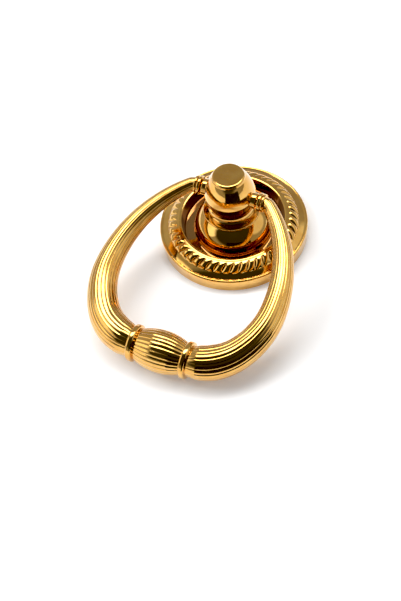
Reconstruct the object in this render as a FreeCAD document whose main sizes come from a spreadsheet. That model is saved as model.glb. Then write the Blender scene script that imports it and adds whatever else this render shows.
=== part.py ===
"""Ring pull handle: a rosette backplate, a turned post and a reeded ring that swings on the post."""
import FreeCAD
import Part
import math
import os

import Sketcher

# Driving sizes in millimetres, degrees and counts
SIZES = {
    # Backplate, from the rim to the centre
    "plate_radius": 21.0,
    "wall_height": 3.4,
    "edge_round": 0.5,
    "lip_width": 0.45,
    "lip_depth": 0.15,
    "band_width": 1.55,
    "band_bulge_height": 0.12,
    "rope_width": 2.65,
    "rope_foot_height": 4.4,
    "rope_slope_angle": 34.0,
    "rope_crown_rise": 0.75,
    "rope_strands": 48,
    "rope_slant_angle": 21.0,
    "rope_groove_width": 0.9,
    "rope_groove_angle": 18.0,
    "rope_groove_height": 0.15,
    "bead_height": 6.2,
    "bead_setback": 0.15,
    "bead_width": 1.05,
    "bead_rise": 0.25,
    "recess_slope_width": 0.7,
    "floor_height": 2.6,
    # Post, from the back face up
    "spigot_radius": 4.0,
    "spigot_clearance": 0.03,
    "foot_radius": 10.2,
    "foot_edge_height": 0.9,
    "dome_radius": 7.4,
    "dome_height": 5.3,
    "dome_bulge_height": 1.0,
    "ledge_width": 0.3,
    "cove_height": 2.1,
    "cove_depth": 0.5,
    "collar_radius": 7.9,
    "collar_height": 0.6,
    "step_radius": 7.0,
    "step_height": 0.4,
    "waist_radius": 6.5,
    "waist_height": 3.1,
    "waist_depth": 0.75,
    "head_radius": 7.15,
    "head_foot_radius": 6.7,
    "head_flare_height": 3.2,
    "head_cone_height": 6.5,
    "head_cone_bulge_height": 0.38,
    "head_top_radius": 4.6,
    "head_edge_round": 0.7,
    "pivot_below_crease": 0.7,
    "boss_radius": 2.3,
    "boss_length": 1.0,
    "screw_hole_radius": 1.65,
    "screw_hole_depth": 10.0,
    # Ring ends
    "pin_radius": 1.2,
    "pin_clearance": 0.05,
    "pin_length": 3.4,
    "end_gap": 0.3,
    "end_bead_rise": 0.1,
    "end_bead_width": 1.2,
    "neck_bead_rise": 0.7,
    "neck_bead_width": 0.8,
    # Ring arms
    "ring_drop": 49.2,
    "ring_half_width": 24.3,
    "elbow_round": 3.0,
    "elbow_angle": 44.0,
    "arm_top_radius": 1.86,
    "arm_full_radius": 4.8,
    "arm_foot_radius": 4.45,
    "arm_full_share": 0.88,
    "reed_count": 20,
    "reed_depth_top": 0.03,
    "reed_depth_foot": 0.18,
    # Ring barrel
    "collar_place": 7.7,
    "collar_width": 1.9,
    "collar_rise": 0.75,
    "barrel_radius": 5.85,
    "barrel_end_radius": 3.9,
    "rib_count": 24,
    "rib_depth": 0.3,
}

# Sizes that follow from the driving ones
DERIVED = {
    # Backplate
    "edge_radius": "=plate_radius - edge_round",
    "edge_height": "=wall_height + edge_round",
    "band_foot_radius": "=edge_radius - lip_width",
    "band_foot_height": "=edge_height - lip_depth",
    "rope_outer_radius": "=band_foot_radius - band_width",
    "band_half_chord": "=sqrt(band_width^2 + (rope_foot_height - band_foot_height)^2) / 2",
    "band_round": "=(band_half_chord^2 + band_bulge_height^2) / (2 * band_bulge_height)",
    "rope_inner_radius": "=rope_outer_radius - rope_width",
    "rope_inner_height": "=rope_foot_height + rope_width * tan(rope_slope_angle)",
    "rope_half_chord": "=rope_width / 2 / cos(rope_slope_angle)",
    "rope_crown_round": "=(rope_half_chord^2 + rope_crown_rise^2) / (2 * rope_crown_rise)",
    "groove_clearance": "=1.1 * rope_crown_rise",
    "groove_radius": "=rope_outer_radius - rope_width / 2 + groove_clearance * sin(rope_slope_angle)",
    "groove_height": "=(rope_foot_height + rope_inner_height) / 2 + groove_clearance * cos(rope_slope_angle)",
    "groove_half_length": "=rope_half_chord / cos(rope_slant_angle)",
    "groove_depth": "=groove_clearance - rope_groove_height",
    "bead_outer_radius": "=rope_inner_radius - bead_setback",
    "bead_inner_radius": "=bead_outer_radius - bead_width",
    "bead_round": "=((bead_width / 2)^2 + bead_rise^2) / (2 * bead_rise)",
    "floor_radius": "=bead_inner_radius - recess_slope_width",
    "bore_radius": "=spigot_radius + spigot_clearance",
    # Post
    "foot_edge_top": "=floor_height + foot_edge_height",
    "dome_top": "=floor_height + dome_height",
    "dome_half_chord": "=sqrt((foot_radius - dome_radius)^2 + (dome_top - foot_edge_top)^2) / 2",
    "dome_round": "=(dome_half_chord^2 + dome_bulge_height^2) / (2 * dome_bulge_height)",
    "cove_radius": "=dome_radius - ledge_width",
    "collar_foot": "=dome_top + cove_height",
    "cove_half_chord": "=sqrt((cove_radius - collar_radius)^2 + cove_height^2) / 2",
    "cove_round": "=(cove_half_chord^2 + cove_depth^2) / (2 * cove_depth)",
    "collar_top": "=collar_foot + collar_height",
    "step_top": "=collar_top + step_height",
    "head_foot": "=step_top + waist_height",
    "waist_half_chord": "=sqrt((head_foot_radius - waist_radius)^2 + waist_height^2) / 2",
    "waist_round": "=(waist_half_chord^2 + waist_depth^2) / (2 * waist_depth)",
    "crease_height": "=head_foot + head_flare_height",
    "head_shoulder": "=crease_height + head_cone_height",
    "head_half_chord": "=sqrt((head_radius - head_top_radius)^2 + head_cone_height^2) / 2",
    "head_cone_round": "=(head_half_chord^2 + head_cone_bulge_height^2) / (2 * head_cone_bulge_height)",
    "head_top": "=head_shoulder + head_edge_round",
    "head_flat_radius": "=head_top_radius - head_edge_round",
    "pivot_height": "=crease_height - pivot_below_crease",
    "boss_reach": "=head_radius + boss_length",
    "pin_hole_radius": "=pin_radius + pin_clearance",
    # Ring ends
    "end_start": "=boss_reach + end_gap",
    "pin_start": "=end_start - pin_length",
    "pin_edge": "=pin_radius / 4",
    "pin_tip_radius": "=pin_radius - pin_edge",
    "pin_shoulder": "=pin_start + pin_edge",
    "neck_bead_radius": "=arm_top_radius + neck_bead_rise",
    "neck_bead_round": "=0.4 * neck_bead_width",
    "neck_bead_flat": "=neck_bead_radius - neck_bead_round",
    "end_bead_radius": "=neck_bead_radius + end_bead_rise",
    "end_bead_round": "=0.45 * end_bead_width",
    "end_bead_flat": "=end_bead_radius - end_bead_round",
    "end_bead_in": "=end_start + end_bead_round",
    "end_stop": "=end_start + end_bead_width",
    "end_bead_out": "=end_stop - end_bead_round",
    "neck_bead_in": "=end_stop + neck_bead_round",
    "neck_stop": "=end_stop + neck_bead_width",
    "neck_bead_out": "=neck_stop - neck_bead_round",
    "arm_start": "=end_stop + neck_bead_width / 2",
    # Ring collars
    "collar_start": "=collar_place - collar_width / 2",
    "collar_stop": "=collar_place + collar_width / 2",
    "collar_rim_radius": "=arm_foot_radius + collar_rise",
    "collar_rim_round": "=0.38 * collar_width",
    "collar_rim_in": "=collar_start + collar_rim_round",
    "collar_rim_out": "=collar_stop - collar_rim_round",
    "collar_flat": "=collar_rim_radius - collar_rim_round",
    # Ring at rest, its barrel on the ground
    "rest_tilt": "=asin((pivot_height - barrel_radius) / ring_drop)",
}

SHEET_NAME = "sizes"
FIRST_ARM_STATIONS = 3
ARM_STATIONS_PER_ARC = 5
BARREL_STATIONS = 7


def make_sheet(doc):
    """Write every size into the sheet under its own alias."""
    sheet = doc.addObject("Spreadsheet::Sheet", SHEET_NAME)
    rows = list(SIZES.items()) + list(DERIVED.items())
    for row, (alias, content) in enumerate(rows, start=1):
        sheet.set("A%d" % row, alias)
        sheet.set("B%d" % row, str(content))
        sheet.setAlias("B%d" % row, alias)
    doc.recompute()
    return sheet


def read_size(sheet, alias):
    """Give one size as a plain number."""
    value = sheet.get(alias)
    return float(getattr(value, "Value", value))


def bound(alias):
    """Give the expression that reads one size."""
    return "%s.%s" % (SHEET_NAME, alias)


def origin_plane(body, role):
    """Find one of a body's own origin planes."""
    return next(item for item in body.Origin.OriginFeatures if item.Role == role)


def origin_axis(body, role):
    """Find one of a body's own origin axes."""
    return next(item for item in body.Origin.OriginFeatures if item.Role == role)


def new_sketch(body, name, role):
    """Start a sketch on one of the body's origin planes."""
    sketch = body.newObject("Sketcher::SketchObject", name)
    sketch.AttachmentSupport = [(origin_plane(body, role), "")]
    sketch.MapMode = "FlatFace"
    return sketch


def arc_between(start, end, radius, bulge_left):
    """Give the arc of a radius from start to end, bulging to the left or the right of the way there."""
    chord = end - start
    across = FreeCAD.Vector(-chord.y, chord.x, 0).normalize()
    rise = math.sqrt(max(radius ** 2 - (chord.Length / 2) ** 2, 0.0))
    side = -1.0 if bulge_left else 1.0
    centre = (start + end) * 0.5 + across * (rise * side)
    first = math.atan2(start.y - centre.y, start.x - centre.x)
    last = math.atan2(end.y - centre.y, end.x - centre.x)
    circle = Part.Circle(centre, FreeCAD.Vector(0, 0, 1), radius)
    if bulge_left:
        return Part.ArcOfCircle(circle, last, first)
    return Part.ArcOfCircle(circle, first, last)


def pin_point(sketch, edge, end, across, up):
    """Hold one corner of a sketch at two sizes; a size of None lies on the axis."""
    for alias, kind, axis in ((across, "DistanceX", -2), (up, "DistanceY", -1)):
        if alias is None:
            sketch.addConstraint(Sketcher.Constraint("PointOnObject", edge, end, axis))
            continue
        place = sketch.getPoint(edge, end)
        value = place.x if kind == "DistanceX" else place.y
        number = sketch.addConstraint(Sketcher.Constraint(kind, -1, 1, edge, end, value))
        sketch.setExpression("Constraints[%d]" % number, bound(alias))


def draw_outline(sheet, sketch, corners):
    """Draw a closed outline; each corner is (across, up) with the arc that leads on from it, if any."""
    def place(corner):
        across, up = (0.0 if alias is None else read_size(sheet, alias) for alias in corner[:2])
        return FreeCAD.Vector(across, up, 0)

    ends = []
    for index, corner in enumerate(corners):
        start = place(corner)
        end = place(corners[(index + 1) % len(corners)])
        if len(corner) == 2:
            edge = sketch.addGeometry(Part.LineSegment(start, end), False)
            ends.append((edge, 1, 2))
            continue
        alias, bulge_left = corner[2:]
        edge = sketch.addGeometry(arc_between(start, end, read_size(sheet, alias), bulge_left), False)
        number = sketch.addConstraint(Sketcher.Constraint("Radius", edge, read_size(sheet, alias)))
        sketch.setExpression("Constraints[%d]" % number, bound(alias))
        ends.append((edge, 2, 1) if bulge_left else (edge, 1, 2))
    for index, (edge, first, last) in enumerate(ends):
        following, begin = ends[(index + 1) % len(ends)][:2]
        sketch.addConstraint(Sketcher.Constraint("Coincident", edge, last, following, begin))
    for (edge, first, last), corner in zip(ends, corners):
        pin_point(sketch, edge, first, *corner[:2])


def turned_body(doc, sheet, name, role, axis, corners):
    """Make a body by turning one outline about an axis of its sketch."""
    body = doc.addObject("PartDesign::Body", name)
    sketch = new_sketch(body, name + "_outline", role)
    draw_outline(sheet, sketch, corners)
    turn = body.newObject("PartDesign::Revolution", name + "_turned")
    turn.Profile = sketch
    turn.ReferenceAxis = (sketch, [axis])
    turn.Angle = 360.0
    doc.recompute()
    return body


def cut_less(body, volume):
    """Stop if the last cut took nothing away."""
    if not body.Shape.Volume < volume:
        raise RuntimeError("%s: a cut removed nothing" % body.Name)


def make_backplate(doc, sheet):
    """Turn the rosette, then groove its rope border."""
    outline = [
        ("bore_radius", None),
        ("plate_radius", None),
        ("plate_radius", "wall_height", "edge_round", False),
        ("edge_radius", "edge_height"),
        ("band_foot_radius", "band_foot_height", "band_round", False),
        ("rope_outer_radius", "rope_foot_height", "rope_crown_round", False),
        ("rope_inner_radius", "rope_inner_height"),
        ("bead_outer_radius", "bead_height", "bead_round", False),
        ("bead_inner_radius", "bead_height"),
        ("floor_radius", "floor_height"),
        ("bore_radius", "floor_height"),
    ]
    body = turned_body(doc, sheet, "backplate", "XZ_Plane", "V_Axis", outline)
    whole = body.Shape.Volume
    sketch = new_sketch(body, "rope_groove_outline", "XY_Plane")
    slope = FreeCAD.Rotation(FreeCAD.Vector(0, 1, 0), read_size(sheet, "rope_slope_angle"))
    sketch.AttachmentOffset = FreeCAD.Placement(FreeCAD.Vector(), slope)
    sketch.setExpression("AttachmentOffset.Rotation.Angle", bound("rope_slope_angle"))
    sketch.setExpression("AttachmentOffset.Base.x", bound("groove_radius"))
    sketch.setExpression("AttachmentOffset.Base.z", bound("groove_height"))
    draw_groove(sheet, sketch)
    groove = body.newObject("PartDesign::Pocket", "rope_groove")
    groove.Profile = sketch
    groove.setExpression("Length", bound("groove_depth"))
    groove.setExpression("TaperAngle", "-%s" % bound("rope_groove_angle"))
    doc.recompute()
    cut_less(body, whole)
    pattern = body.newObject("PartDesign::PolarPattern", "rope_grooves")
    pattern.Originals = [groove]
    pattern.Axis = (origin_axis(body, "Z_Axis"), [""])
    pattern.Angle = 360.0
    pattern.setExpression("Occurrences", bound("rope_strands"))
    body.Tip = pattern
    doc.recompute()
    return body


def draw_groove(sheet, sketch):
    """Draw one slanted groove across the rope border, its inner end ahead of its outer end."""
    slant = math.radians(read_size(sheet, "rope_slant_angle"))
    reach = read_size(sheet, "groove_half_length")
    half_width = read_size(sheet, "rope_groove_width") / 2
    along = FreeCAD.Vector(-math.cos(slant), math.sin(slant), 0)
    across = FreeCAD.Vector(math.sin(slant), math.cos(slant), 0)
    corners = [along * (reach * a) + across * (half_width * b)
               for a, b in ((-1, -1), (1, -1), (1, 1), (-1, 1))]
    for index in range(4):
        sketch.addGeometry(Part.LineSegment(corners[index], corners[(index + 1) % 4]), False)
    for index in range(4):
        sketch.addConstraint(Sketcher.Constraint("Coincident", index, 2, (index + 1) % 4, 1))
    sketch.addConstraint(Sketcher.Constraint("Parallel", 0, 2))
    sketch.addConstraint(Sketcher.Constraint("Parallel", 1, 3))
    sketch.addConstraint(Sketcher.Constraint("Perpendicular", 0, 1))
    centre_line = sketch.addGeometry(Part.LineSegment(corners[0], corners[2]), True)
    sketch.addConstraint(Sketcher.Constraint("Coincident", centre_line, 1, 0, 1))
    sketch.addConstraint(Sketcher.Constraint("Coincident", centre_line, 2, 1, 2))
    sketch.addConstraint(Sketcher.Constraint("Symmetric", centre_line, 1, centre_line, 2, -1, 1))
    length = sketch.addConstraint(Sketcher.Constraint("Distance", 0, 2 * reach))
    sketch.setExpression("Constraints[%d]" % length, "2 * %s" % bound("groove_half_length"))
    width = sketch.addConstraint(Sketcher.Constraint("Distance", 1, 2 * half_width))
    sketch.setExpression("Constraints[%d]" % width, bound("rope_groove_width"))
    lean = sketch.addConstraint(Sketcher.Constraint("Angle", 0, math.pi - slant))
    sketch.setExpression("Constraints[%d]" % lean, "180deg - %s * 1deg" % bound("rope_slant_angle"))


def make_post(doc, sheet):
    """Turn the post, add its side bosses, then drill the cross hole and the screw hole."""
    outline = [
        (None, None),
        ("spigot_radius", None),
        ("spigot_radius", "floor_height"),
        ("foot_radius", "floor_height"),
        ("foot_radius", "foot_edge_top", "dome_round", False),
        ("dome_radius", "dome_top"),
        ("cove_radius", "dome_top", "cove_round", True),
        ("collar_radius", "collar_foot"),
        ("collar_radius", "collar_top"),
        ("step_radius", "collar_top"),
        ("step_radius", "step_top"),
        ("waist_radius", "step_top", "waist_round", True),
        ("head_foot_radius", "head_foot"),
        ("head_radius", "crease_height", "head_cone_round", False),
        ("head_top_radius", "head_shoulder", "head_edge_round", False),
        ("head_flat_radius", "head_top"),
        (None, "head_top"),
    ]
    body = turned_body(doc, sheet, "post", "XZ_Plane", "V_Axis", outline)
    sketch = new_sketch(body, "boss_outline", "YZ_Plane")
    draw_circle(sheet, sketch, "boss_radius", "pivot_height")
    bosses = body.newObject("PartDesign::Pad", "side_bosses")
    bosses.Profile = sketch
    bosses.Midplane = True
    bosses.setExpression("Length", "2 * %s" % bound("boss_reach"))
    doc.recompute()
    whole = body.Shape.Volume
    sketch = new_sketch(body, "cross_hole_outline", "YZ_Plane")
    draw_circle(sheet, sketch, "pin_hole_radius", "pivot_height")
    cross_hole = body.newObject("PartDesign::Pocket", "cross_hole")
    cross_hole.Profile = sketch
    cross_hole.Midplane = True
    cross_hole.Type = "ThroughAll"
    doc.recompute()
    cut_less(body, whole)
    whole = body.Shape.Volume
    sketch = new_sketch(body, "screw_hole_outline", "XY_Plane")
    draw_circle(sheet, sketch, "screw_hole_radius", None)
    screw_hole = body.newObject("PartDesign::Pocket", "screw_hole")
    screw_hole.Profile = sketch
    screw_hole.Reversed = True
    screw_hole.setExpression("Length", bound("screw_hole_depth"))
    doc.recompute()
    cut_less(body, whole)
    return body


def draw_circle(sheet, sketch, radius, up):
    """Draw a circle on the sketch's upright axis."""
    height = 0.0 if up is None else read_size(sheet, up)
    size = read_size(sheet, radius)
    circle = Part.Circle(FreeCAD.Vector(0, height, 0), FreeCAD.Vector(0, 0, 1), size)
    edge = sketch.addGeometry(circle, False)
    number = sketch.addConstraint(Sketcher.Constraint("Radius", edge, size))
    sketch.setExpression("Constraints[%d]" % number, bound(radius))
    pin_point(sketch, edge, 3, None, up)


def star_wire(centre, outward, up, radius, depth, count):
    """Give the closed section of a reeded bar: ridges at the radius, valleys a depth below it."""
    points = []
    for step in range(2 * count):
        angle = math.pi * step / count
        reach = radius - (depth if step % 2 else 0.0)
        points.append(centre + outward * (reach * math.cos(angle)) + up * (reach * math.sin(angle)))
    return Part.makePolygon(points + points[:1])


def arm_arcs(size):
    """Give the arm's centre line as arcs, each a radius with its first and last heading."""
    start = size("arm_start")
    elbow = math.radians(size("elbow_angle"))
    elbow_round = size("elbow_round")
    down_heading = math.pi / 2
    reach = size("ring_half_width") - start
    upper_round = (reach - elbow_round * math.sin(elbow)) / (1 - math.sin(elbow))
    widest_drop = elbow_round * (1 - math.cos(elbow)) + upper_round * math.cos(elbow)
    inward = size("ring_half_width") - size("collar_place")
    down = size("ring_drop") - widest_drop
    # Two lower arcs whose tangents are equally long, which meet at any width and drop
    tangent = (math.hypot(inward + down, math.sqrt(2) * math.hypot(inward, down)) - inward - down) / 2
    lower = math.atan2(inward - tangent, down - tangent)
    side_round = tangent / math.tan(lower / 2)
    bottom_round = tangent / math.tan((down_heading - lower) / 2)
    arcs = [
        (elbow_round, 0.0, elbow),
        (upper_round, elbow, down_heading),
        (side_round, down_heading, down_heading + lower),
        (bottom_round, down_heading + lower, math.pi),
    ]
    return start, arcs


def arm_shape(size):
    """Loft one reeded arm through sections set square to its centre line."""
    across, arcs = arm_arcs(size)
    drop = 0.0
    way = 0.0
    total = sum(radius * (last - first) for radius, first, last in arcs)
    up = FreeCAD.Vector(0, 0, 1)
    sections = []
    for index, (radius, first, last) in enumerate(arcs):
        count = FIRST_ARM_STATIONS if index == 0 else ARM_STATIONS_PER_ARC
        for step in range(0 if index == 0 else 1, count):
            heading = first + (last - first) * step / (count - 1)
            place = FreeCAD.Vector(across + radius * (math.sin(heading) - math.sin(first)),
                                   -drop - radius * (math.cos(first) - math.cos(heading)), 0)
            outward = FreeCAD.Vector(math.sin(heading), math.cos(heading), 0)
            share = (way + radius * (heading - first)) / total
            depth = size("reed_depth_top") + share * (size("reed_depth_foot") - size("reed_depth_top"))
            wire = star_wire(place, outward, up, arm_radius(size, share), depth, int(size("reed_count")))
            sections.append(wire)
        across += radius * (math.sin(last) - math.sin(first))
        drop += radius * (math.cos(first) - math.cos(last))
        way += radius * (last - first)
    return Part.makeLoft(sections, True, False)


def arm_radius(size, share):
    """Give the arm's radius at a share of its length: it swells evenly, then draws in to its collar."""
    full = size("arm_full_radius")
    turning = size("arm_full_share")
    if share <= turning:
        return size("arm_top_radius") + (full - size("arm_top_radius")) * share / turning
    return full - (full - size("arm_foot_radius")) * ((share - turning) / (1 - turning)) ** 2


def barrel_shape(size):
    """Loft the ribbed barrel, which bulges as a circle's arc between its two collars."""
    half = size("collar_place")
    rise = size("barrel_radius") - size("barrel_end_radius")
    bow = (half ** 2 + rise ** 2) / (2 * rise)
    outward, up = FreeCAD.Vector(0, 1, 0), FreeCAD.Vector(0, 0, 1)
    sections = []
    for step in range(BARREL_STATIONS):
        place = half * (2 * step / (BARREL_STATIONS - 1) - 1)
        radius = size("barrel_radius") - bow + math.sqrt(bow ** 2 - place ** 2)
        depth = size("rib_depth") * radius / size("barrel_radius")
        centre = FreeCAD.Vector(place, -size("ring_drop"), 0)
        sections.append(star_wire(centre, outward, up, radius, depth, int(size("rib_count"))))
    return Part.makeLoft(sections, True, False)


def make_ring(doc, sheet):
    """Join one half of the ring, its mirror image and the barrel into one casting."""
    def size(alias):
        return read_size(sheet, alias)

    end_outline = [
        ("pin_start", None),
        ("pin_start", "pin_tip_radius"),
        ("pin_shoulder", "pin_radius"),
        ("end_start", "pin_radius"),
        ("end_start", "end_bead_flat", "end_bead_round", True),
        ("end_bead_in", "end_bead_radius"),
        ("end_bead_out", "end_bead_radius", "end_bead_round", True),
        ("end_stop", "end_bead_flat"),
        ("end_stop", "neck_bead_flat", "neck_bead_round", True),
        ("neck_bead_in", "neck_bead_radius"),
        ("neck_bead_out", "neck_bead_radius", "neck_bead_round", True),
        ("neck_stop", "neck_bead_flat"),
        ("neck_stop", None),
    ]
    end = turned_body(doc, sheet, "ring_end", "XY_Plane", "H_Axis", end_outline)
    collar_outline = [
        ("collar_start", None),
        ("collar_start", "collar_flat", "collar_rim_round", True),
        ("collar_rim_in", "collar_rim_radius"),
        ("collar_rim_out", "collar_rim_radius", "collar_rim_round", True),
        ("collar_stop", "collar_flat"),
        ("collar_stop", None),
    ]
    collar = turned_body(doc, sheet, "ring_collar", "XY_Plane", "H_Axis", collar_outline)
    collar.setExpression("Placement.Base.y", "-%s" % bound("ring_drop"))
    arm = doc.addObject("Part::Feature", "reeded_arm")
    arm.Shape = arm_shape(size)
    barrel = doc.addObject("Part::Feature", "ribbed_barrel")
    barrel.Shape = barrel_shape(size)
    half = doc.addObject("Part::MultiFuse", "ring_half")
    half.Shapes = [end, arm, collar]
    other_half = doc.addObject("Part::Mirroring", "ring_other_half")
    other_half.Source = half
    other_half.Normal = FreeCAD.Vector(1, 0, 0)
    ring = doc.addObject("Part::MultiFuse", "ring")
    ring.Shapes = [half, other_half, barrel]
    ring.Placement = FreeCAD.Placement(FreeCAD.Vector(), FreeCAD.Rotation(FreeCAD.Vector(1, 0, 0), 1.0))
    ring.setExpression("Placement.Base.z", bound("pivot_height"))
    ring.setExpression("Placement.Rotation.Angle", bound("rest_tilt"))
    doc.recompute()
    return ring


def check_document(doc, pieces):
    """Stop if any object failed or any piece is not one sound solid."""
    for item in doc.Objects:
        if "Invalid" in item.State or "Error" in item.State:
            raise RuntimeError("%s failed: %s" % (item.Name, item.State))
    for piece in pieces:
        if piece.Shape.isNull() or not piece.Shape.isValid() or len(piece.Shape.Solids) != 1:
            raise RuntimeError("%s is not one sound solid" % piece.Label)


def main():
    """Build the document, check it and write one file for each piece."""
    os.makedirs("parts", exist_ok=True)
    doc = FreeCAD.newDocument("ring_pull_handle")
    sheet = make_sheet(doc)
    pieces = [make_backplate(doc, sheet), make_post(doc, sheet), make_ring(doc, sheet)]
    check_document(doc, pieces)
    for piece in pieces:
        piece.Shape.exportStep("parts/%s.step" % piece.Label)
        print(piece.Label, "volume", round(piece.Shape.Volume, 1))


main()
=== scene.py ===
"""Looks of the ring pull handle: a gold rosette, a turned post and a reeded swinging ring."""

import logging
import math
from dataclasses import dataclass
from enum import Enum
from typing import Iterable

import bmesh
import bpy
from mathutils import Matrix, Vector


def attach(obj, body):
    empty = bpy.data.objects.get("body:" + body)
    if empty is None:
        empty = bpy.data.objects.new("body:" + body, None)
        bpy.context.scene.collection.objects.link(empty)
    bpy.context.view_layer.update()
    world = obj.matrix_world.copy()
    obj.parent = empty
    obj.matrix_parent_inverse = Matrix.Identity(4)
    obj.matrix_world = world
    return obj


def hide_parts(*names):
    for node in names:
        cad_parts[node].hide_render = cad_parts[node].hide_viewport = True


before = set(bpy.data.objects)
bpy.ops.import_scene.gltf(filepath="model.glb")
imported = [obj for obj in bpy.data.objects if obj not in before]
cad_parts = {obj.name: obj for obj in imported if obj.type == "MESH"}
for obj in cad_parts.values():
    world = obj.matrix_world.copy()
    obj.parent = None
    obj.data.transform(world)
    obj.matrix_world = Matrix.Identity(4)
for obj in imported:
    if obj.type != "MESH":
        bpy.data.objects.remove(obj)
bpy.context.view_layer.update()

LOG = logging.getLogger("ring_pull_handle")
MM = 0.001
GOLD_SLOT = "polished_gold"
# Vertex layer of painted shade: each vertex's share of the painted shade colour.
PAINTED_SHADE_LAYER = "painted_shade"
PHOTO_HEIGHT = 601
BLACK_LEVEL = 0.008
MERGE_DISTANCE = 1e-5
WHITE = (1.0, 1.0, 1.0, 1.0)

Point = tuple[float, float]


def direction(azimuth: float, elevation: float) -> Vector:
    """Gives the way from the handle to a place in the studio.

    Args:
        azimuth: Degrees round the upright axis, from the handle's front.
        elevation: Degrees above the floor.

    Returns:
        The unit vector.
    """
    turn, rise = math.radians(azimuth), math.radians(elevation)
    return Vector((math.sin(turn) * math.cos(rise), -math.cos(turn) * math.cos(rise),
                   math.sin(rise)))


def quarter_bow(radius: float) -> float:
    """Says how far a quarter circle's arc stands off its chord.

    Args:
        radius: The circle's radius.

    Returns:
        The bow of the arc.
    """
    return radius * (1 - math.sqrt(0.5))


def add_object(name: str, data: bpy.types.ID) -> bpy.types.Object:
    """Puts a new object into the scene.

    Args:
        name: The object's name.
        data: Its mesh, light or camera.

    Returns:
        The object.
    """
    made = bpy.data.objects.new(name, data)
    bpy.context.scene.collection.objects.link(made)
    return made


def add_mesh(name: str, shape: bmesh.types.BMesh) -> bpy.types.Object:
    """Puts a shape into the scene as a new mesh object.

    Args:
        name: The name of the object and its mesh.
        shape: The shape, freed here.

    Returns:
        The object.
    """
    mesh = bpy.data.meshes.new(name)
    shape.to_mesh(mesh)
    shape.free()
    return add_object(name, mesh)


def matt_material(name: str, colour: tuple[float, float, float], roughness: float,
                  shine: float) -> bpy.types.Material:
    """Makes a plain matt material for the stage.

    Args:
        name: The material's name.
        colour: Its colour.
        roughness: How matt it is.
        shine: How much it shines.

    Returns:
        The material.
    """
    material = bpy.data.materials.new(name)
    material.use_nodes = True
    shader = material.node_tree.nodes["Principled BSDF"]
    shader.inputs["Base Color"].default_value = (*colour, 1.0)
    shader.inputs["Roughness"].default_value = roughness
    shader.inputs["Specular IOR Level"].default_value = shine
    return material


class Side(Enum):
    """Which way an arc of an outline bows, seen along the outline."""

    LEFT = 1.0
    RIGHT = -1.0


class Outline:
    """A turned outline: points out from the axis and up, in millimetres, laid end to end."""

    def __init__(self, out: float, up: float) -> None:
        """Starts the outline at one point.

        Args:
            out: Distance from the axis.
            up: Height along the axis.
        """
        self.points: list[Point] = [(out, up)]

    def line(self, out: float, up: float, steps: int = 1) -> "Outline":
        """Runs straight to a point.

        Args:
            out: Distance from the axis of the end.
            up: Height of the end.
            steps: How many equal parts the run has.

        Returns:
            The outline itself, for the next run.
        """
        first_out, first_up = self.points[-1]
        for step in range(1, steps + 1):
            share = step / steps
            self.points.append((first_out + (out - first_out) * share,
                                first_up + (up - first_up) * share))
        return self

    def arc(self, out: float, up: float, bow: float, side: Side, steps: int) -> "Outline":
        """Runs to a point along a circle's arc.

        Args:
            out: Distance from the axis of the end.
            up: Height of the end.
            bow: How far the arc stands off its chord.
            side: Which way it bows.
            steps: How many parts the arc has.

        Returns:
            The outline itself, for the next run.
        """
        start = Vector(self.points[-1])
        chord = Vector((out, up)) - start
        half = chord.length / 2
        radius = (half ** 2 + bow ** 2) / (2 * bow)
        across = Vector((-chord.y, chord.x)).normalized() * side.value
        centre = start + chord / 2 + across * (bow - radius)
        opening = 2 * math.atan2(half, radius - bow)
        spoke = start - centre
        for step in range(1, steps + 1):
            turned = Matrix.Rotation(-side.value * opening * step / steps, 2) @ spoke
            self.points.append(tuple(centre + turned))
        return self


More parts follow.
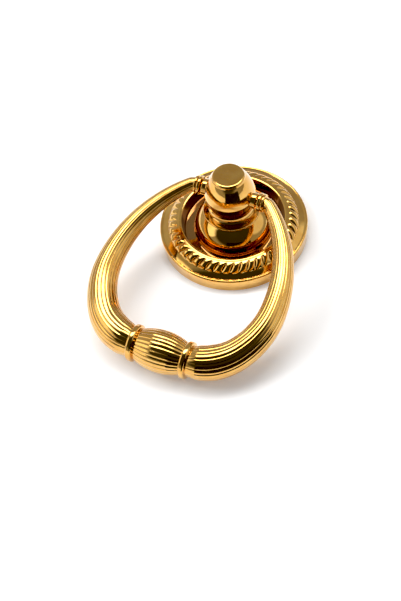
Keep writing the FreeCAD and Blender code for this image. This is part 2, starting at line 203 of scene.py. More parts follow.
@dataclass(frozen=True)
class GoldFinish:
    """Polished gold plate over a casting, darkened by painted shade in its grooves, creases and
    recess.
    """

    crown: tuple[float, float, float] = (0.81, 0.48, 0.105)
    warm: tuple[float, float, float] = (0.70, 0.345, 0.045)
    # Painted shade colour, mixed in where the painted shade layer says.
    painted_shade: tuple[float, float, float] = (0.28, 0.11, 0.015)
    polish: float = 0.03
    haze: float = 0.09
    lacquer: float = 1.0
    lacquer_haze: float = 0.04
    mottle: float = 0.6
    mottle_span: float = 0.12
    blush_size: float = 55.0
    smear_size: float = 240.0
    pit_size: float = 2600.0
    wave_size: float = 420.0
    wave_depth: float = 0.00002
    pit_depth: float = 0.000004

    def material(self) -> bpy.types.Material:
        """Builds the finish as one node material.

        Returns:
            The material, ready for a piece.
        """
        material = bpy.data.materials.new(GOLD_SLOT)
        material.use_nodes = True
        tree = material.node_tree
        shader = tree.nodes["Principled BSDF"]
        shader.inputs["Metallic"].default_value = 1.0
        shader.inputs["Coat Weight"].default_value = self.lacquer
        shader.inputs["Coat Roughness"].default_value = self.lacquer_haze
        place = tree.nodes.new("ShaderNodeTexCoord")
        blush = self._cloud(tree, place, self.blush_size, 2.0)
        smear = self._cloud(tree, place, self.smear_size, 4.0)
        pits = self._cloud(tree, place, self.pit_size, 2.0)
        waves = self._cloud(tree, place, self.wave_size, 1.0)
        tone = tree.nodes.new("ShaderNodeMix")
        tone.data_type = "RGBA"
        tone.inputs["A"].default_value = (*self.crown, 1.0)
        tone.inputs["B"].default_value = (*self.warm, 1.0)
        mottle = tree.nodes.new("ShaderNodeMapRange")
        mottle.inputs["From Min"].default_value = 0.5 - self.mottle_span
        mottle.inputs["From Max"].default_value = 0.5 + self.mottle_span
        tree.links.new(smear, mottle.inputs["Value"])
        both = tree.nodes.new("ShaderNodeMix")
        both.data_type = "FLOAT"
        both.inputs["Factor"].default_value = self.mottle
        tree.links.new(blush, both.inputs["A"])
        tree.links.new(mottle.outputs["Result"], both.inputs["B"])
        tree.links.new(both.outputs["Result"], tone.inputs["Factor"])
        # Mixes the painted shade colour into the gold by the layer's share.
        shaded_tone = tree.nodes.new("ShaderNodeMix")
        shaded_tone.data_type = "RGBA"
        shaded_tone.inputs["B"].default_value = (*self.painted_shade, 1.0)
        painted_shade = tree.nodes.new("ShaderNodeAttribute")
        painted_shade.attribute_name = PAINTED_SHADE_LAYER
        tree.links.new(painted_shade.outputs["Fac"], shaded_tone.inputs["Factor"])
        tree.links.new(tone.outputs["Result"], shaded_tone.inputs["A"])
        tree.links.new(shaded_tone.outputs["Result"], shader.inputs["Base Color"])
        haze = tree.nodes.new("ShaderNodeMapRange")
        haze.inputs["To Min"].default_value = self.polish
        haze.inputs["To Max"].default_value = self.haze
        tree.links.new(smear, haze.inputs["Value"])
        tree.links.new(haze.outputs["Result"], shader.inputs["Roughness"])
        swell = self._bump(tree, waves, self.wave_depth)
        grain = self._bump(tree, pits, self.pit_depth)
        tree.links.new(swell.outputs["Normal"], grain.inputs["Normal"])
        tree.links.new(grain.outputs["Normal"], shader.inputs["Normal"])
        return material

    @staticmethod
    def _cloud(tree: bpy.types.NodeTree, place: bpy.types.Node, size: float,
               detail: float) -> bpy.types.NodeSocket:
        """Adds one noise on the piece's own coordinates.

        Args:
            tree: The material's nodes.
            place: The coordinate node.
            size: Noise scale, in patches to the metre.
            detail: How many finer layers it has.

        Returns:
            The noise's value socket.
        """
        noise = tree.nodes.new("ShaderNodeTexNoise")
        noise.inputs["Scale"].default_value = size
        noise.inputs["Detail"].default_value = detail
        tree.links.new(place.outputs["Object"], noise.inputs["Vector"])
        return noise.outputs["Fac"]

    @staticmethod
    def _bump(tree: bpy.types.NodeTree, height: bpy.types.NodeSocket,
              depth: float) -> bpy.types.Node:
        """Adds a bump.

        Args:
            tree: The material's nodes.
            height: The socket that drives it.
            depth: Its depth in metres.

        Returns:
            The bump node.
        """
        bump = tree.nodes.new("ShaderNodeBump")
        bump.inputs["Strength"].default_value = 1.0
        bump.inputs["Distance"].default_value = depth
        tree.links.new(height, bump.inputs["Height"])
        return bump


@dataclass(frozen=True)
class PaleFloor:
    """The pale sweep that the handle lies on, lit a little from below."""

    colour: tuple[float, float, float] = (0.93, 0.93, 0.935)
    roughness: float = 0.9
    shine: float = 0.1
    glow: float = 0.17
    half_side: float = 1.6

    def build(self) -> bpy.types.Object:
        """Lays the floor at the height of the backplate's back face.

        Returns:
            The floor.
        """
        shape = bmesh.new()
        bmesh.ops.create_grid(shape, x_segments=2, y_segments=2, size=self.half_side)
        floor = add_mesh("floor", shape)
        material = matt_material("pale_paper", self.colour, self.roughness, self.shine)
        shader = material.node_tree.nodes["Principled BSDF"]
        shader.inputs["Emission Color"].default_value = WHITE
        shader.inputs["Emission Strength"].default_value = self.glow
        floor.data.materials.append(material)
        return floor


@dataclass(frozen=True)
class DarkCard:
    """The black card on the camera's side, which only the polished metal sees."""

    radius: float = 78.0
    height: float = 34.0
    first: float = 4.0
    last: float = 66.0
    steps: int = 48
    colour: tuple[float, float, float] = (0.02, 0.02, 0.02)

    def build(self) -> bpy.types.Object:
        """Stands the card on the floor, round the front of the handle.

        Returns:
            The card.
        """
        shape = bmesh.new()
        foot = direction(self.first, 0.0) * self.radius * MM
        ends = [shape.verts.new(foot), shape.verts.new(foot + Vector((0.0, 0.0, self.height * MM)))]
        edge = shape.edges.new(ends)
        bmesh.ops.spin(shape, geom=[*ends, edge], cent=(0.0, 0.0, 0.0), axis=(0.0, 0.0, 1.0),
                       angle=math.radians(self.last - self.first), steps=self.steps)
        card = add_mesh("dark_card", shape)
        card.data.materials.append(matt_material("black_card", self.colour, 1.0, 0.0))
        card.visible_camera = False
        card.visible_diffuse = False
        card.visible_shadow = False
        return card


@dataclass(frozen=True)
class SoftPanel:
    """One soft panel of the studio, as a patch of the sky around the handle."""

    name: str
    azimuth: float
    elevation: float
    reach: float
    softness: float
    strength: float


@dataclass(frozen=True)
class FloorLamp:
    """The broad lamp on the left that lights the floor and draws the soft shadows."""

    azimuth: float = 285.0
    elevation: float = 48.0
    distance: float = 0.9
    width: float = 0.5
    watts: float = 3.6

    def build(self) -> bpy.types.Object:
        """Hangs the lamp, out of sight of the polished metal.

        Returns:
            The lamp object.
        """
        heading = direction(self.azimuth, self.elevation)
        light = bpy.data.lights.new("floor_lamp", "AREA")
        light.shape = "DISK"
        light.size = self.width
        light.energy = self.watts
        lamp = add_object("floor_lamp", light)
        facing = heading.to_track_quat("Z", "Y").to_matrix().to_4x4()
        lamp.matrix_world = Matrix.Translation(heading * self.distance) @ facing
        lamp.visible_glossy = False
        lamp.visible_camera = False
        return lamp


@dataclass(frozen=True)
class Studio:
    """The plain studio: a dim room with soft panels, a dark camera side and a pale backdrop."""

    room: float = 0.38
    backdrop: float = 1.0
    panels: tuple[SoftPanel, ...] = (
        SoftPanel("left_wall", 253.0, 18.0, 34.0, 10.0, 0.5),
        SoftPanel("ceiling", 208.0, 85.0, 14.0, 6.0, 0.5),
        SoftPanel("right", 116.0, 42.0, 32.0, 4.0, 0.9),
        SoftPanel("left", 300.0, 33.0, 22.0, 3.0, 1.6),
        SoftPanel("back_top", 208.0, 66.0, 10.0, 2.0, 7.5),
        SoftPanel("back_left_top", 240.0, 65.0, 10.0, 2.0, 6.5),
        SoftPanel("back_right_top", 176.0, 65.0, 10.0, 2.0, 6.5),
        SoftPanel("camera_side", 20.0, 50.0, 45.0, 6.0, 0.05),
    )

    def build(self) -> bpy.types.World:
        """Paints the room's light around the handle.

        Returns:
            The world, in use by the scene.
        """
        world = bpy.data.worlds.new("studio")
        world.use_nodes = True
        tree = world.node_tree
        sky = tree.nodes["Background"]
        sky.inputs["Color"].default_value = WHITE
        place = tree.nodes.new("ShaderNodeTexCoord")
        light: bpy.types.NodeSocket | None = None
        for panel in self.panels:
            light = self._patch(tree, place, panel, light, self.room)
        tree.links.new(light, sky.inputs["Strength"])
        wall = tree.nodes.new("ShaderNodeBackground")
        wall.inputs["Color"].default_value = WHITE
        wall.inputs["Strength"].default_value = self.backdrop
        ray = tree.nodes.new("ShaderNodeLightPath")
        either = tree.nodes.new("ShaderNodeMixShader")
        tree.links.new(ray.outputs["Is Camera Ray"], either.inputs["Fac"])
        tree.links.new(sky.outputs["Background"], either.inputs[1])
        tree.links.new(wall.outputs["Background"], either.inputs[2])
        tree.links.new(either.outputs["Shader"], tree.nodes["World Output"].inputs["Surface"])
        bpy.context.scene.world = world
        return world

    @staticmethod
    def _patch(tree: bpy.types.NodeTree, place: bpy.types.Node, panel: SoftPanel,
               under: bpy.types.NodeSocket | None, room: float) -> bpy.types.NodeSocket:
        """Lays one panel over the light so far.

        Args:
            tree: The world's nodes.
            place: The direction node.
            panel: The panel or shade to lay.
            under: The light so far, or None for the bare room.
            room: The bare room's strength.

        Returns:
            The light with the panel in it.
        """
        facing = tree.nodes.new("ShaderNodeVectorMath")
        facing.operation = "DOT_PRODUCT"
        facing.inputs[1].default_value = direction(panel.azimuth, panel.elevation)
        tree.links.new(place.outputs["Generated"], facing.inputs[0])
        edge = tree.nodes.new("ShaderNodeMapRange")
        edge.interpolation_type = "SMOOTHSTEP"
        outer = math.radians(panel.reach + panel.softness)
        inner = math.radians(max(panel.reach - panel.softness, 0.0))
        edge.inputs["From Min"].default_value = math.cos(outer)
        edge.inputs["From Max"].default_value = math.cos(inner)
        tree.links.new(facing.outputs["Value"], edge.inputs["Value"])
        mix = tree.nodes.new("ShaderNodeMix")
        mix.data_type = "FLOAT"
        mix.inputs["A"].default_value = room
        mix.inputs["B"].default_value = panel.strength
        tree.links.new(edge.outputs["Result"], mix.inputs["Factor"])
        if under is not None:
            tree.links.new(under, mix.inputs["A"])
        return mix.outputs["Result"]


@dataclass(frozen=True)
class PhotoCamera:
    """The camera at the photograph's angle, aimed at a point of the floor."""

    azimuth: float = 28.46
    elevation: float = 51.92
    roll: float = -8.9
    distance: float = 400.0
    focal_pixels: float = 1398.55
    aim: tuple[float, float] = (0.83, -25.69)
    sensor: float = 36.0
    nearest: float = 0.01

    def build(self) -> bpy.types.Object:
        """Places the camera and makes it the scene's own.

        Returns:
            The camera object.
        """
        stand = direction(self.azimuth, self.elevation) * self.distance * MM
        look = (Vector((*self.aim, 0.0)) * MM - stand).normalized()
        right = look.cross(Vector((0.0, 0.0, 1.0))).normalized()
        up = right.cross(look)
        lean = math.radians(self.roll)
        tilted_right = right * math.cos(lean) + up * math.sin(lean)
        tilted_up = up * math.cos(lean) - right * math.sin(lean)
        lens = bpy.data.cameras.new("photo_camera")
        lens.sensor_fit = "VERTICAL"
        lens.sensor_height = self.sensor
        lens.lens = self.focal_pixels / PHOTO_HEIGHT * self.sensor
        lens.clip_start = self.nearest
        camera = add_object("photo_camera", lens)
        axes = Matrix((tilted_right, tilted_up, -look)).transposed()
        camera.matrix_world = Matrix.Translation(stand) @ axes.to_4x4()
        bpy.context.scene.camera = camera
        return camera


def from_holder(holder: bpy.types.Object) -> bmesh.types.BMesh:
    """Takes the finished shape out of a passing object and clears the object away.

    Args:
        holder: The object, removed here.

    Returns:
        A new bmesh with its modifiers' result.
    """
    result = bmesh.new()
    result.from_object(holder, bpy.context.evaluated_depsgraph_get())
    mesh = holder.data
    bpy.data.objects.remove(holder)
    bpy.data.meshes.remove(mesh)
    return result


class Piece:
    """Shared work on a finished mesh: scale to metres, shade, dress and hand over to its body."""

    name: str = ""
    body: str = ""
    crease: float = 38.0

    def hand_over(self, shape: bmesh.types.BMesh, finish: bpy.types.Material) -> bpy.types.Object:
        """Turns a bmesh in millimetres into the dressed piece that stands for its CAD node.

        Edges past the piece's crease angle, in degrees, stay sharp.

        Args:
            shape: The finished bmesh, freed here.
            finish: The piece's material.

        Returns:
            The piece's object.
        """
        bmesh.ops.scale(shape, vec=(MM, MM, MM), verts=shape.verts)
        mesh = bpy.data.meshes.new(self.name)
        shape.to_mesh(mesh)
        shape.free()
        mesh.shade_smooth()
        mesh.set_sharp_from_angle(angle=math.radians(self.crease))
        mesh.materials.append(finish)
        piece = add_object(self.name + "_gold", mesh)
        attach(piece, self.body)
        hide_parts(self.name)
        LOG.info("%s: %d faces", piece.name, len(mesh.polygons))
        return piece

    @staticmethod
    def turn(outline: Outline, steps: int, closed: bool) -> bmesh.types.BMesh:
        """Turns an outline once round the upright axis.

        Args:
            outline: The points to turn.
            steps: How many steps the turn has.
            closed: Whether the last point joins the first.

        Returns:
            A new bmesh, in millimetres.
        """
        shape = bmesh.new()
        verts = [shape.verts.new((out, 0.0, up)) for out, up in outline.points]
        for pair in zip(verts, verts[1:]):
            shape.edges.new(pair)
        if closed:
            shape.edges.new((verts[-1], verts[0]))
        holder = add_mesh("turning", shape)
        lathe = holder.modifiers.new("lathe", "SCREW")
        lathe.axis = "Z"
        lathe.angle = 2 * math.pi
        lathe.steps = lathe.render_steps = steps
        lathe.use_merge_vertices = True
        lathe.merge_threshold = MERGE_DISTANCE
        turned = from_holder(holder)
        bmesh.ops.remove_doubles(turned, verts=turned.verts, dist=MERGE_DISTANCE)
        bmesh.ops.recalc_face_normals(turned, faces=turned.faces)
        return turned


@dataclass
class Backplate(Piece):
    """The rosette: a rounded wall, a smooth band, a rope border, an inner bead and a recess."""

    name: str = "backplate"
    body: str = "base"
    radius: float = 21.0
    back_edge: float = 0.15
    wall_height: float = 3.4
    edge_round: float = 0.5
    lip_width: float = 0.45
    lip_depth: float = 0.15
    band_width: float = 1.55
    band_bulge: float = 0.03
    rope_width: float = 2.65
    rope_foot: float = 4.4
    rope_slope: float = 34.0
    rope_rise: float = 0.5
    strands: int = 48
    steps_per_strand: int = 16
    slant: float = 21.0
    strand_round: float = 2.6
    groove_share: float = 1.0
    bead_setback: float = 0.15
    bead_height: float = 6.2
    bead_width: float = 1.05
    bead_rise: float = 0.12
    recess_slope: float = 0.7
    recess_corner: float = 0.2
    floor_height: float = 2.6
    bore: float = 4.03
    # Painted shade in the rope's grooves, on the recess wall and on the recess floor.
    strand_groove_shade: float = 0.3
    strand_groove_shade_fade: int = 6
    recess_wall_shade: float = 0.95
    recess_floor_shade: float = 0.8
    recess_corner_shade: float = 0.1
    corner_reach: float = 3.0
    skin: float = 0.01

    @property
    def rope_outer(self) -> float:
        """Outer radius of the rope border.

        Returns:
            The radius.
        """
        return self.radius - self.edge_round - self.lip_width - self.band_width

    @property
    def rope_inner(self) -> float:
        """Inner radius of the rope border.

        Returns:
            The radius.
        """
        return self.rope_outer - self.rope_width

    @property
    def rope_inner_foot(self) -> float:
        """Height of the rope border's inner foot, up the slope.

        Returns:
            The height.
        """
        return self.rope_foot + self.rope_width * math.tan(math.radians(self.rope_slope))

    @property
    def bead_outer(self) -> float:
        """Outer radius of the bead inside the rope border.

        Returns:
            The radius.
        """
        return self.rope_inner - self.bead_setback

    @property
    def bead_inner(self) -> float:
        """Inner radius of the bead, where the recess starts.

        Returns:
            The radius.
        """
        return self.bead_outer - self.bead_width

    def outline(self) -> Outline:
        """Lays the rosette's half section, from the bore out over the border and back.

        Returns:
            The closed outline.
        """
        shoulder = self.wall_height + self.edge_round
        rim = self.radius - self.edge_round
        corner = self.bead_inner - self.recess_slope
        return (Outline(self.bore, 0.0)
                .line(self.radius - self.back_edge, 0.0, 4)
                .line(self.radius, self.back_edge)
                .line(self.radius, self.wall_height, 3)
                .arc(rim, shoulder, quarter_bow(self.edge_round), Side.RIGHT, 8)
                .line(rim - self.lip_width, shoulder - self.lip_depth, 3)
                .arc(self.rope_outer, self.rope_foot, self.band_bulge, Side.RIGHT, 12)
                .arc(self.rope_inner, self.rope_inner_foot, self.rope_rise, Side.RIGHT, 24)
                .line(self.bead_outer, self.bead_height, 3)
                .arc(self.bead_inner, self.bead_height, self.bead_rise, Side.RIGHT, 9)
                .line(corner, self.floor_height + self.recess_corner, 5)
                .line(corner - self.recess_corner, self.floor_height, 2)
                .line(self.bore, self.floor_height, 6))

    def carve(self, shape: bmesh.types.BMesh) -> None:
        """Twists the rosette to the strands' slant, rounds each strand down to its grooves and
        paints shade into the grooves and the recess.

        Args:
            shape: The turned rosette, changed in place.
        """
        painted_shade = shape.verts.layers.float.new(PAINTED_SHADE_LAYER)
        middle = (self.rope_outer + self.rope_inner) / 2
        reach = self.rope_width / 2
        slope = math.radians(self.rope_slope)
        lead = math.tan(math.radians(self.slant)) / math.cos(slope) / middle
        for vert in shape.verts:
            out = math.hypot(vert.co.x, vert.co.y)
            offset = max(-reach, min(reach, out - middle))
            turn = math.atan2(vert.co.y, vert.co.x)
            inward, upward = out - self.rope_outer, vert.co.z - self.rope_foot
            rise = inward * math.sin(slope) + upward * math.cos(slope)
            on_rope = self.rope_inner < out < self.rope_outer + self.rope_rise
            if on_rope and rise > 1e-4 and upward > 0.0:
                across = abs(2 * ((turn * self.strands / (2 * math.pi)) % 1.0) - 1)
                sunk = rise * self.groove_share * across ** self.strand_round
                away = Vector((math.cos(turn) * math.sin(slope),
                               math.sin(turn) * math.sin(slope), math.cos(slope)))
                vert.co -= away * sunk
                # Painted shade in the groove between strands.
                vert[painted_shade] = self.strand_groove_shade * across ** self.strand_groove_shade_fade
            elif out < self.rope_inner and vert.co.z > self.floor_height / 2:
                # Painted shade on the recess wall and floor.
                vert[painted_shade] = self.recess_shade(out, vert.co.z)
            twist = Matrix.Rotation(-offset * lead, 3, "Z")
            vert.co = twist @ vert.co

    def recess_shade(self, out: float, up: float) -> float:
        """Says how much painted shade the recess gets: its wall most, its floor less towards the
        post.

        Args:
            out: Distance from the axis.
            up: Height.

        Returns:
            Share of the dull tone.
        """
        if out > self.bead_inner - self.skin:
            return 0.0
        if up > self.floor_height + self.skin:
            return self.recess_wall_shade
        near_wall = max(0.0, 1.0 - (self.bead_inner - out) / self.corner_reach)
        return self.recess_floor_shade + self.recess_corner_shade * near_wall

    def build(self, finish: bpy.types.Material) -> bpy.types.Object:
        """Makes the rosette.

        Args:
            finish: The gold finish.

        Returns:
            The piece's object.
        """
        shape = self.turn(self.outline(), self.strands * self.steps_per_strand, True)
        self.carve(shape)
        return self.hand_over(shape, finish)


@dataclass
class Post(Piece):
    """The post: a dome foot, a cove, a collar, a waist and a cone head with two side bosses."""

    name: str = "post"
    body: str = "base"
    crease: float = 32.0
    steps: int = 288
    floor_height: float = 2.6
    spigot: float = 4.0
    foot_radius: float = 11.4
    foot_edge: float = 0.4
    dome_radius: float = 7.4
    dome_height: float = 6.6
    dome_bulge: float = 0.85
    dome_lip: float = 0.12
    ledge: float = 0.3
    cove_height: float = 0.8
    cove_depth: float = 0.2
    collar_radius: float = 7.9
    collar_height: float = 0.6
    collar_bow: float = 0.18
    step_radius: float = 7.0
    step_height: float = 0.4
    waist_radius: float = 6.5
    waist_height: float = 3.1
    waist_depth: float = 0.75
    head_foot_radius: float = 6.7
    head_radius: float = 7.15
    flare_height: float = 3.2
    cone_height: float = 6.5
    cone_bulge: float = 0.38
    top_radius: float = 4.6
    top_round: float = 0.7
    pivot_height: float = 16.6
    boss_radius: float = 2.3
    boss_reach: float = 8.15
    boss_round: float = 0.25
    boss_steps: int = 96
    pin_hole: float = 1.25
    drill_overrun: float = 2.0
    drill_steps: int = 64
    screw_radius: float = 1.65
    screw_depth: float = 10.0
    thread_pitch: float = 0.7
    thread_depth: float = 0.35
    thread_parts: int = 8
    thread_runout: float = 1.2
    # Painted shade at the dome's foot, in the cove and in the waist.
    foot_shade: float = 0.7
    foot_shade_height: float = 2.0
    cove_shade: float = 0.35
    waist_shade: float = 0.3

    def outline(self) -> Outline:
        """Lays the post's half section from the screw hole's end down, out and up to the flat top.

        Returns:
            The open outline, both ends on the axis.
        """
        dome_top = self.floor_height + self.dome_height
        collar_foot = dome_top + self.cove_height
        collar_top = collar_foot + self.collar_height
        step_top = collar_top + self.step_height
        head_foot = step_top + self.waist_height
        crease = head_foot + self.flare_height
        shoulder = crease + self.cone_height
        threads = round(self.screw_depth / self.thread_pitch * self.thread_parts)
        top = shoulder + self.top_round
        lip = self.dome_lip
        return (Outline(0.0, self.screw_depth)
                .line(self.screw_radius, self.screw_depth, 2)
                .line(self.screw_radius, 0.0, threads)
                .line(self.spigot, 0.0, 4)
                .line(self.spigot, self.floor_height, 2)
                .line(self.foot_radius, self.floor_height, 4)
                .line(self.foot_radius, self.floor_height + self.foot_edge, 4)
                .arc(self.dome_radius + lip, dome_top - lip, self.dome_bulge, Side.RIGHT, 30)
                .arc(self.dome_radius - lip, dome_top, lip / 2, Side.RIGHT, 4)
                .line(self.dome_radius - self.ledge, dome_top, 2)
                .arc(self.collar_radius, collar_foot, self.cove_depth, Side.LEFT, 16)
                .arc(self.collar_radius, collar_top, self.collar_bow, Side.RIGHT, 8)
                .line(self.step_radius, collar_top, 3)
                .line(self.step_radius, step_top, 2)
                .line(self.waist_radius, step_top, 2)
                .arc(self.head_foot_radius, head_foot, self.waist_depth, Side.LEFT, 16)
                .line(self.head_radius, crease, 10)
                .arc(self.top_radius, shoulder, self.cone_bulge, Side.RIGHT, 26)
                .arc(self.top_radius - self.top_round, top, quarter_bow(self.top_round),
                     Side.RIGHT, 8)
                .line(0.0, top, 10))

    def cut_thread(self, shape: bmesh.types.BMesh) -> None:
        """Winds the screw thread into the wall of the screw hole.

        Args:
            shape: The turned post, changed in place.
        """
        for vert in shape.verts:
            out = math.hypot(vert.co.x, vert.co.y)
            in_hole = abs(out - self.screw_radius) <= 1e-3
            if not in_hole or vert.co.z > self.screw_depth - self.thread_runout:
                continue
            turn = math.atan2(vert.co.y, vert.co.x) / (2 * math.pi)
            wave = abs(2 * ((vert.co.z / self.thread_pitch - turn) % 1.0) - 1)
            grown = 1 + self.thread_depth * wave / out
            vert.co.x *= grown
            vert.co.y *= grown

    def boss(self) -> bmesh.types.BMesh:
        """Turns both side bosses as one bar along the pivot.

        Returns:
            A new closed bmesh, in millimetres.
        """
        end = self.boss_reach
        edge = self.boss_round
        bow = quarter_bow(edge)
        bar = (Outline(0.0, -end)
               .line(self.boss_radius - edge, -end, 3)
               .arc(self.boss_radius, -end + edge, bow, Side.RIGHT, 5)
               .line(self.boss_radius, end - edge, 24)
               .arc(self.boss_radius - edge, end, bow, Side.RIGHT, 5)
               .line(0.0, end, 3))
        return self._along_pivot(self.turn(bar, self.boss_steps, False))

    def drill(self) -> bmesh.types.BMesh:
        """Turns the bar that the cross hole is cut with.

        Returns:
            A new closed bmesh, in millimetres.
        """
        reach = self.boss_reach + self.drill_overrun
        bar = (Outline(0.0, -reach)
               .line(self.pin_hole, -reach)
               .line(self.pin_hole, reach, 12)
               .line(0.0, reach))
        return self._along_pivot(self.turn(bar, self.drill_steps, False))

    def _along_pivot(self, shape: bmesh.types.BMesh) -> bmesh.types.BMesh:
        """Lays an upright turned bar along the pivot.

        Args:
            shape: The bar, changed in place.

        Returns:
            The same bar.
        """
        over = Matrix.Rotation(math.pi / 2, 3, "Y")
        bmesh.ops.rotate(shape, verts=shape.verts, cent=(0.0, 0.0, 0.0), matrix=over)
        bmesh.ops.translate(shape, verts=shape.verts, vec=(0.0, 0.0, self.pivot_height))
        return shape

    def shade(self, shape: bmesh.types.BMesh) -> None:
        """Paints shade into the gold at the foot of the dome and in the cove and the waist.

        Args:
            shape: The finished post, changed in place.
        """
        painted_shade = shape.verts.layers.float.new(PAINTED_SHADE_LAYER)
        edge = self.floor_height + self.foot_edge
        cove = self.floor_height + self.dome_height + self.cove_height / 2
        collar_foot = cove + self.cove_height / 2
        waist = collar_foot + self.collar_height + self.step_height + self.waist_height / 2
        for vert in shape.verts:
            up = vert.co.z
            foot = min(1.0, 1.0 - (up - edge) / self.foot_shade_height)
            in_cove = 1.0 - abs(up - cove) / self.cove_height
            in_waist = 1.0 - abs(up - waist) / self.waist_height
            # Painted shade: the largest of the three shares.
            vert[painted_shade] = max(0.0, self.foot_shade * foot, self.cove_shade * in_cove,
                               self.waist_shade * in_waist)

    def build(self, finish: bpy.types.Material) -> bpy.types.Object:
        """Makes the post.

        Args:
            finish: The gold finish.

        Returns:
            The piece's object.
        """
        shape = self.turn(self.outline(), self.steps, False)
        self.cut_thread(shape)
        joined = join_solids(shape, self.boss(), "UNION")
        drilled = join_solids(joined, self.drill(), "DIFFERENCE")
        self.shade(drilled)
        return self.hand_over(drilled, finish)


def join_solids(first: bmesh.types.BMesh, second: bmesh.types.BMesh,
                operation: str) -> bmesh.types.BMesh:
    """Joins two closed shapes, or cuts one from the other.

    Args:
        first: The shape to keep, freed here.
        second: The shape to add or cut, freed here.
        operation: The modifier's word for what to do.

    Returns:
        A new bmesh with the result.
    """
    kept, tool = add_mesh("kept", first), add_mesh("tool", second)
    cut = kept.modifiers.new("joint", "BOOLEAN")
    cut.operation = operation
    cut.solver = "MANIFOLD"
    cut.object = tool
    result = from_holder(kept)
    from_holder(tool).free()
    return result


@dataclass(frozen=True)
class Station:
    """One cross section of the ring: where it stands, which way it heads and its rim."""

    across: float
    down: float
    heading: float
    radius: float
    ridges: int = 0
    depth: float = 0.0
    crispness: float = 1.0


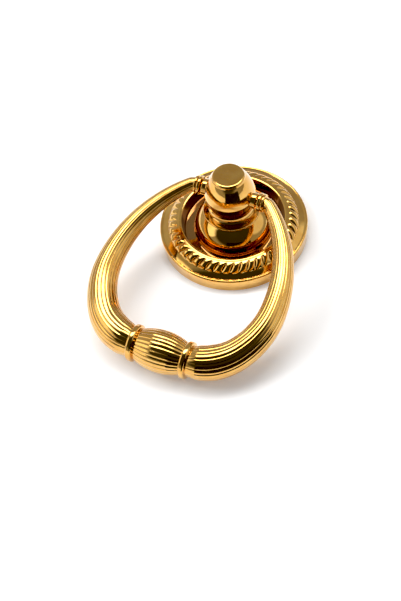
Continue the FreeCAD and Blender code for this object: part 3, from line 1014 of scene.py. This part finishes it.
@dataclass
class PullRing(Piece):
    """The swinging ring: two pins with beads, two reeded arms and a ribbed barrel."""

    name: str = "ring"
    body: str = "ring"
    rim_steps: int = 240
    pivot_height: float = 16.6
    pin_start: float = 5.05
    pin_radius: float = 1.2
    pin_edge: float = 0.3
    pin_centre: float = 0.02
    end_start: float = 8.45
    end_bead_foot: float = 1.55
    end_bead_steps: int = 16
    end_bead_radius: float = 2.66
    end_bead_width: float = 1.2
    neck_bead_radius: float = 2.56
    neck_bead_width: float = 0.8
    neck_bead_foot: float = 1.88
    neck_bead_steps: int = 12
    drop: float = 49.2
    half_width: float = 24.3
    elbow_round: float = 3.0
    elbow_turn: float = 44.0
    arm_top: float = 1.86
    arm_full: float = 4.8
    arm_foot: float = 4.45
    full_share: float = 0.88
    reeds: int = 20
    reed_top: float = 0.04
    reed_foot: float = 0.13
    reed_crispness: float = 2.0
    collar_place: float = 7.7
    collar_width: float = 1.9
    collar_radius: float = 5.2
    collar_steps: int = 22
    barrel_radius: float = 5.85
    barrel_end: float = 3.9
    barrel_steps: int = 24
    ribs: int = 24
    rib_depth: float = 0.15
    rib_crispness: float = 1.5
    collar_sink: float = 0.25
    # Painted shade in the grooves between the reeds and the ribs.
    groove_shade: float = 0.2
    groove_shade_fade: int = 4
    arm_spacing: float = 0.75

    @property
    def rest_tilt(self) -> float:
        """Angle that the ring drops at rest, its barrel on the floor.

        Returns:
            The angle in radians.
        """
        return math.asin((self.pivot_height - self.barrel_radius) / self.drop)

    def arcs(self) -> tuple[float, list[tuple[float, float, float]]]:
        """Works out the arm's centre line.

        Returns:
            Where it starts across the ring, and its arcs: radius, first and last heading.
        """
        start = self.end_start + self.end_bead_width + self.neck_bead_width / 2
        elbow = math.radians(self.elbow_turn)
        quarter = math.pi / 2
        reach = self.half_width - start - self.elbow_round * math.sin(elbow)
        upper_round = reach / (1 - math.sin(elbow))
        widest = self.elbow_round * (1 - math.cos(elbow)) + upper_round * math.cos(elbow)
        inward = self.half_width - self.collar_place
        down = self.drop - widest
        span = math.hypot(inward + down, math.sqrt(2) * math.hypot(inward, down))
        tangent = (span - inward - down) / 2
        lower = math.atan2(inward - tangent, down - tangent)
        side_round = tangent / math.tan(lower / 2)
        bottom_round = tangent / math.tan((quarter - lower) / 2)
        return start, [(self.elbow_round, 0.0, elbow), (upper_round, elbow, quarter),
                       (side_round, quarter, quarter + lower),
                       (bottom_round, quarter + lower, math.pi)]

    def bead(self, place: float, width: float, low: float, high: float, steps: int) -> list[Point]:
        """Rounds one bead across the pivot's axis.

        Args:
            place: Where the bead starts.
            width: Its width.
            low: Its radius at both sides.
            high: Its radius at the crown.
            steps: How many parts it has.

        Returns:
            Places along the axis with their radius.
        """
        points = []
        for step in range(steps + 1):
            share = 2 * step / steps - 1
            swell = math.sqrt(max(1 - share ** 4, 0.0))
            points.append((place + width * step / steps, low + (high - low) * swell))
        return points

    def end_stations(self) -> list[Station]:
        """Gives the pin and the two beads.

        Returns:
            Their stations, from the pin's tip outwards.
        """
        run = [(self.pin_start, self.pin_centre),
               (self.pin_start, self.pin_radius - self.pin_edge),
               (self.pin_start + self.pin_edge, self.pin_radius),
               (self.end_start, self.pin_radius)]
        run += self.bead(self.end_start, self.end_bead_width, self.end_bead_foot,
                         self.end_bead_radius, self.end_bead_steps)
        neck = self.end_start + self.end_bead_width
        run += self.bead(neck, self.neck_bead_width, self.neck_bead_foot,
                         self.neck_bead_radius, self.neck_bead_steps)[1:]
        return [Station(place, 0.0, 0.0, radius) for place, radius in run]

    def arm_stations(self) -> list[Station]:
        """Gives the arm.

        Returns:
            Its stations, from the neck bead to the barrel's collar.
        """
        across, arcs = self.arcs()
        down = way = 0.0
        total = sum(radius * (last - first) for radius, first, last in arcs)
        stations = []
        for radius, first, last in arcs:
            count = max(6, round(radius * (last - first) / self.arm_spacing))
            for step in range(count):
                heading = first + (last - first) * step / count
                share = (way + radius * (heading - first)) / total
                depth = self.reed_top + share * (self.reed_foot - self.reed_top)
                stations.append(Station(across + radius * (math.sin(heading) - math.sin(first)),
                                        down + radius * (math.cos(first) - math.cos(heading)),
                                        heading, self.arm_radius(share), self.reeds, depth,
                                        self.reed_crispness))
            across += radius * (math.sin(last) - math.sin(first))
            down += radius * (math.cos(first) - math.cos(last))
            way += radius * (last - first)
        neck_stop = self.end_start + self.end_bead_width + self.neck_bead_width
        return [one for one in stations if one.across > neck_stop]

    def arm_radius(self, share: float) -> float:
        """Gives the arm's radius: it swells evenly, then draws in to its collar.

        Args:
            share: Share of the arm's length.

        Returns:
            The radius.
        """
        if share <= self.full_share:
            return self.arm_top + (self.arm_full - self.arm_top) * share / self.full_share
        past = (share - self.full_share) / (1 - self.full_share)
        return self.arm_full - (self.arm_full - self.arm_foot) * past ** 2

    def barrel_stations(self) -> list[Station]:
        """Gives the collar and half of the barrel.

        Returns:
            Their stations, up to the middle of the ring.
        """
        start = self.collar_place + self.collar_width / 2
        low = self.arm_foot - self.collar_sink
        stations = []
        for place, radius in self.bead(start, -self.collar_width, low, self.collar_radius,
                                       self.collar_steps):
            stations.append(Station(place, self.drop, math.pi, radius))
        half = self.collar_place
        rise = self.barrel_radius - self.barrel_end
        bow = (half ** 2 + rise ** 2) / (2 * rise)
        stop = self.collar_place - self.collar_width / 2
        for step in range(self.barrel_steps + 1):
            place = stop * (1 - step / self.barrel_steps)
            radius = self.barrel_radius - bow + math.sqrt(bow ** 2 - place ** 2)
            depth = self.rib_depth * radius / self.barrel_radius
            stations.append(Station(place, self.drop, math.pi, radius, self.ribs, depth,
                                    self.rib_crispness))
        return stations

    def sweep(self, stations: Iterable[Station]) -> bmesh.types.BMesh:
        """Draws half of the ring out of one circle, station by station.

        Args:
            stations: The cross sections in order.

        Returns:
            A new bmesh, in millimetres, the ring lying in its own plane.
        """
        shape = bmesh.new()
        painted_shade = shape.verts.layers.float.new(PAINTED_SHADE_LAYER)
        loop: list[bmesh.types.BMVert] = []
        edges: list[bmesh.types.BMEdge] = []
        for station in stations:
            if not loop:
                loop = bmesh.ops.create_circle(shape, cap_ends=True, radius=1.0,
                                               segments=self.rim_steps)["verts"]
                loop.sort(key=lambda vert: math.atan2(vert.co.y, vert.co.x) % (2 * math.pi))
            else:
                made = bmesh.ops.extrude_edge_only(shape, edges=edges)["geom"]
                fresh = {vert for vert in made if isinstance(vert, bmesh.types.BMVert)}
                loop = [next(edge.other_vert(vert) for edge in vert.link_edges
                             if edge.other_vert(vert) in fresh) for vert in loop]
            edges = [shape.edges.get((loop[index - 1], loop[index]))
                     for index in range(self.rim_steps)]
            self.place_loop(loop, station, painted_shade)
        return shape

    def place_loop(self, loop: list[bmesh.types.BMVert], station: Station,
                   painted_shade: bmesh.types.BMLayerItem) -> None:
        """Moves one loop of vertices to its station.

        Args:
            loop: The vertices, in order round the rim.
            station: Their cross section.
            painted_shade: The painted shade layer, which says how deep in a groove each vertex lies
                and so how much it is darkened.
        """
        outward = Vector((math.sin(station.heading), math.cos(station.heading), 0.0))
        centre = Vector((station.across, -station.down, 0.0))
        for index, vert in enumerate(loop):
            angle = 2 * math.pi * index / self.rim_steps
            valley = 1 - abs(math.cos(station.ridges * angle / 2)) if station.ridges else 0.0
            sunk = valley ** station.crispness
            reach = station.radius - station.depth * sunk
            upward = Vector((0.0, 0.0, reach * math.sin(angle)))
            vert.co = centre + outward * (reach * math.cos(angle)) + upward
            # Painted shade, deepest in each groove.
            vert[painted_shade] = self.groove_shade * valley ** self.groove_shade_fade

    def build(self, finish: bpy.types.Material) -> bpy.types.Object:
        """Makes the ring: sweeps one half, mirrors it, then hangs it at rest.

        Args:
            finish: The gold finish.

        Returns:
            The piece's object.
        """
        shape = self.sweep(self.end_stations() + self.arm_stations() + self.barrel_stations())
        half = shape.verts[:] + shape.edges[:] + shape.faces[:]
        bmesh.ops.mirror(shape, geom=half, axis="X", merge_dist=1e-4)
        bmesh.ops.remove_doubles(shape, verts=shape.verts, dist=MERGE_DISTANCE)
        bmesh.ops.recalc_face_normals(shape, faces=shape.faces)
        tilt = Matrix.Rotation(self.rest_tilt, 3, "X")
        bmesh.ops.rotate(shape, verts=shape.verts, cent=(0.0, 0.0, 0.0), matrix=tilt)
        bmesh.ops.translate(shape, verts=shape.verts, vec=(0.0, 0.0, self.pivot_height))
        return self.hand_over(shape, finish)


def set_film() -> None:
    """Sets plain tones and the photograph's slightly deep blacks."""
    view = bpy.context.scene.view_settings
    view.view_transform = "Standard"
    view.use_curve_mapping = True
    view.curve_mapping.black_level = (BLACK_LEVEL, BLACK_LEVEL, BLACK_LEVEL)
    view.curve_mapping.update()


def main() -> None:
    """Builds the studio and the three pieces in order."""
    logging.basicConfig(level=logging.INFO, format="%(name)s %(message)s")
    set_film()
    PhotoCamera().build()
    PaleFloor().build()
    DarkCard().build()
    FloorLamp().build()
    Studio().build()
    gold = GoldFinish().material()
    for piece in (Backplate(), Post(), PullRing()):
        piece.build(gold)


if __name__ == "__main__":
    main()
